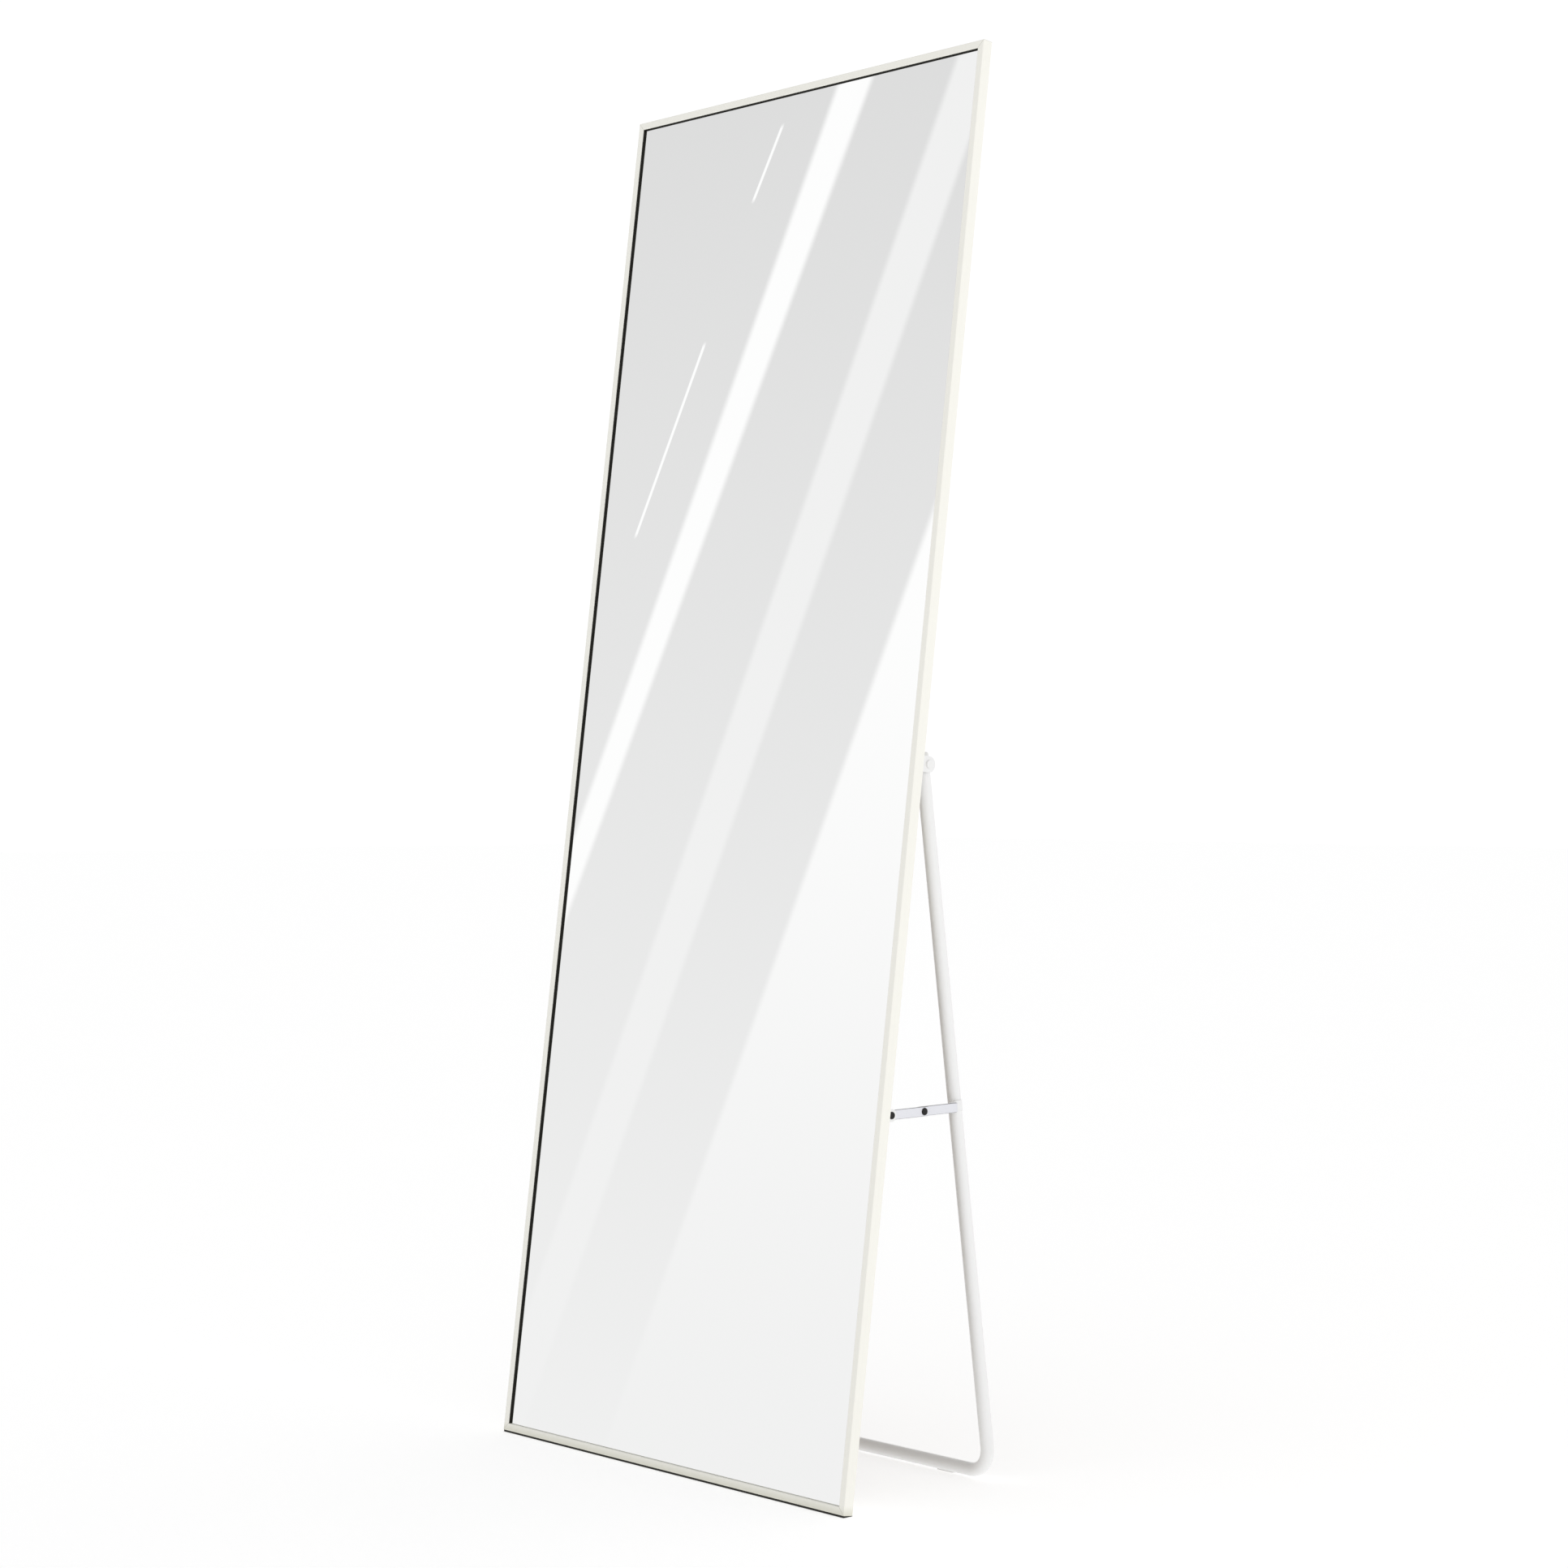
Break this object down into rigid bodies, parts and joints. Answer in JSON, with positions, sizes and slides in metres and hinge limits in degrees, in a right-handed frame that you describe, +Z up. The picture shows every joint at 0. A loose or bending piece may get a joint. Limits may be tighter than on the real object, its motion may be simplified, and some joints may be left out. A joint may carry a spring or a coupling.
{
  "type": "easel-back floor mirror",
  "caption": "Full-length leaning floor mirror in a thin white metal frame, with a folding U-shaped tube stand hinged to its back and held open by two-link stays.",
  "frame": {"origin": "on the floor, under the middle of the bounding box of the mirror as it stands open", "axes": "+Z up, +X to the right of someone who looks into the mirror, +Y from the glass towards the stand"},
  "size_m": [0.6, 0.2513, 1.5885],
  "materials": {
    "powder_coated_frame": "satin powder coat, warm white",
    "powder_coated_steel": "satin powder coat, white",
    "link_paint": "light grey-white paint",
    "black_rivet": "black oxide",
    "zinc_steel": "bright zinc plating",
    "silvered_glass": "polished float glass, silvered",
    "safety_film": "grey safety film",
    "dark_rubber": "matte",
    "grey_gasket": "matte",
    "white_rubber": "matte",
    "foam_tape": "foam",
    "cardboard": "kraft",
    "hardboard": "smooth hardboard",
    "white_plastic": "moulded"
  },
  "bodies": {
    "mirror_panel": {"left_frame_member": "powder_coated_frame", "right_frame_member": "powder_coated_frame", "top_frame_member": "powder_coated_frame", "bottom_frame_member": "powder_coated_frame", "corner_keys": "zinc_steel", "corner_key_screws": "zinc_steel", "mirror_glass": "silvered_glass", "silvering_and_safety_film": "safety_film", "glazing_gasket": "grey_gasket", "bonding_tape": "foam_tape", "corrugated_filler_sheet": "cardboard", "back_board": "hardboard", "board_clips": "zinc_steel", "board_clip_screws": "zinc_steel", "wall_hanger_plates": "zinc_steel", "wall_hanger_screws": "zinc_steel", "anti_slip_strip": "dark_rubber", "folded_stand_bumpers": "dark_rubber", "left_hinge_bracket": "powder_coated_steel", "right_hinge_bracket": "powder_coated_steel", "left_hinge_pin": "zinc_steel", "right_hinge_pin": "zinc_steel", "left_hinge_washers": "white_plastic", "right_hinge_washers": "white_plastic", "hinge_bracket_screws": "zinc_steel", "hinge_backing_plates": "zinc_steel", "left_stay_bracket": "powder_coated_steel", "right_stay_bracket": "powder_coated_steel", "left_stay_frame_rivet": "black_rivet", "right_stay_frame_rivet": "black_rivet", "stay_bracket_screws": "zinc_steel", "stay_backing_plates": "zinc_steel"},
    "stand": {"stand_tube": "powder_coated_steel", "left_leg_plug": "white_plastic", "right_leg_plug": "white_plastic", "left_stay_lug": "powder_coated_steel", "right_stay_lug": "powder_coated_steel", "stand_floor_pads": "white_rubber"},
    "left_front_link": {"left_stay_front_link": "link_paint", "left_stay_centre_rivet": "black_rivet"},
    "left_rear_link": {"left_stay_rear_link": "link_paint", "left_stay_end_rivet": "link_paint"},
    "right_front_link": {"right_stay_front_link": "link_paint", "right_stay_centre_rivet": "black_rivet"},
    "right_rear_link": {"right_stay_rear_link": "link_paint", "right_stay_end_rivet": "link_paint"}
  },
  "joints": [
    {"name": "stand_fold", "type": "hinge", "parent": "mirror_panel", "child": "stand", "pos_m": [0, 0.01478, 0.79376], "axis": [-1, 0, 0], "range_deg": [0, 14.77]},
    {"name": "left_front_link_swing", "type": "hinge", "parent": "mirror_panel", "child": "left_front_link", "pos_m": [-0.2866, -0.04635, 0.41752], "axis": [1, 0, 0], "range_deg": [0, 81.84]},
    {"name": "left_rear_link_swing", "type": "hinge", "parent": "left_front_link", "child": "left_rear_link", "pos_m": [-0.2842, 0.00453, 0.41813], "axis": [-1, 0, 0], "range_deg": [0, 180.01]},
    {"name": "right_front_link_swing", "type": "hinge", "parent": "mirror_panel", "child": "right_front_link", "pos_m": [0.2866, -0.04635, 0.41752], "axis": [1, 0, 0], "range_deg": [0, 81.84]},
    {"name": "right_rear_link_swing", "type": "hinge", "parent": "right_front_link", "child": "right_rear_link", "pos_m": [0.2842, 0.00453, 0.41813], "axis": [-1, 0, 0], "range_deg": [0, 180.01]}
  ],
  "couplings": [
    {"joint": "left_front_link_swing", "follows": "stand_fold", "ratio": 5.5397},
    {"joint": "left_rear_link_swing", "follows": "stand_fold", "ratio": 12.185},
    {"joint": "right_front_link_swing", "follows": "stand_fold", "ratio": 5.5397},
    {"joint": "right_rear_link_swing", "follows": "stand_fold", "ratio": 12.185}
  ]
}
